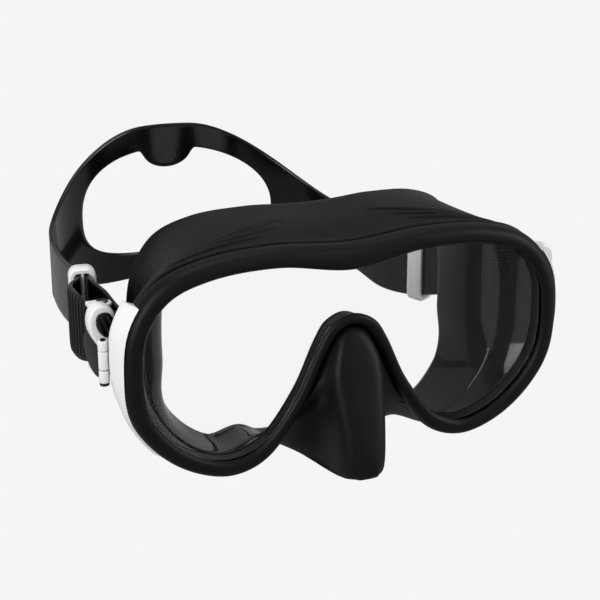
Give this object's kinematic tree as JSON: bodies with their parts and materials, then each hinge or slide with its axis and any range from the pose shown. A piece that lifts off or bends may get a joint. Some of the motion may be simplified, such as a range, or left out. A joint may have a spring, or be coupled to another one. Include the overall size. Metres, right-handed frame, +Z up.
{
  "type": "diving mask",
  "caption": "Single-lens diving mask with a matte skirt and nose pocket, folding side buckles with release buttons, strap keepers and a split-back head strap.",
  "frame": {"origin": "middle of the face seal, on the mask's centre plane at eye level", "axes": "+Z up on the wearer, -Y the way the lens faces, +X the wearer's left"},
  "size_m": [0.1842, 0.1909, 0.0895],
  "materials": {
    "tempered_glass": "clear polished tempered glass",
    "matte_silicone": "matte black moulded silicone, glossy inside",
    "satin_silicone": "satin black moulded silicone",
    "white_plastic": "white moulded plastic with a soft gloss",
    "black_plastic": "black moulded plastic",
    "steel": "stainless steel"
  },
  "bodies": {
    "mask": {"lens": "tempered_glass", "front_rim": "matte_silicone", "chassis_ring": "black_plastic", "skirt": "matte_silicone", "wing_right": "white_plastic", "wing_left": "white_plastic", "hinge_pin_right": "black_plastic", "hinge_pin_left": "black_plastic"},
    "side_right": {"buckle_right": "white_plastic", "buckle_cover_right": "black_plastic", "roller_pin_right": "steel", "button_spring_right": "steel", "strap_right": "satin_silicone"},
    "side_left": {"buckle_left": "white_plastic", "buckle_cover_left": "black_plastic", "roller_pin_left": "steel", "button_spring_left": "steel", "strap_left": "satin_silicone"},
    "spool_right": {"roller_right": "black_plastic"},
    "spool_left": {"roller_left": "black_plastic"},
    "thumb_right": {"release_button_right": "black_plastic"},
    "thumb_left": {"release_button_left": "black_plastic"},
    "slider_right": {"keeper_right": "white_plastic"},
    "slider_left": {"keeper_left": "white_plastic"},
    "rear_strap": {"strap_back": "satin_silicone"}
  },
  "joints": [
    {"name": "fold_right", "type": "hinge", "parent": "mask", "child": "side_right", "pos_m": [-0.0876, -0.0354, -0.0047], "axis": [0, 0, 1], "range_deg": [-8, 25], "deforming": ["strap_right"]},
    {"name": "fold_left", "type": "hinge", "parent": "mask", "child": "side_left", "pos_m": [0.0876, -0.0354, -0.0047], "axis": [0, 0, -1], "range_deg": [-8, 25], "deforming": ["strap_left"]},
    {"name": "roller_spin_right", "type": "hinge", "parent": "side_right", "child": "spool_right", "pos_m": [-0.083, -0.02, 0], "axis": [0, 0, 1], "continuous": true},
    {"name": "roller_spin_left", "type": "hinge", "parent": "side_left", "child": "spool_left", "pos_m": [0.083, -0.02, 0], "axis": [0, 0, 1], "continuous": true},
    {"name": "press_right", "type": "slide", "parent": "side_right", "child": "thumb_right", "axis": [0, 0, -1], "range_m": [0, 0.0016], "stiffness_N_per_m": 900, "deforming": ["button_spring_right"]},
    {"name": "press_left", "type": "slide", "parent": "side_left", "child": "thumb_left", "axis": [0, 0, -1], "range_m": [0, 0.0016], "stiffness_N_per_m": 900, "deforming": ["button_spring_left"]},
    {"name": "keeper_slide_right", "type": "slide", "parent": "side_right", "child": "slider_right", "axis": [0.0283, 0.9996, 0], "range_m": [-0.004, 0.004], "deforming": ["strap_right"]},
    {"name": "keeper_slide_left", "type": "slide", "parent": "side_left", "child": "slider_left", "axis": [-0.4315, 0.9021, 0], "range_m": [-0.004, 0.004], "deforming": ["strap_left"]},
    {"name": "strap_swing", "type": "hinge", "parent": "mask", "child": "rear_strap", "pos_m": [-0.01, 0.042, -0.004], "axis": [1, 0, 0], "range_deg": [-15, 25], "stiffness_Nm_per_rad": 1.2, "deforming": ["strap_right", "strap_left"]}
  ]
}
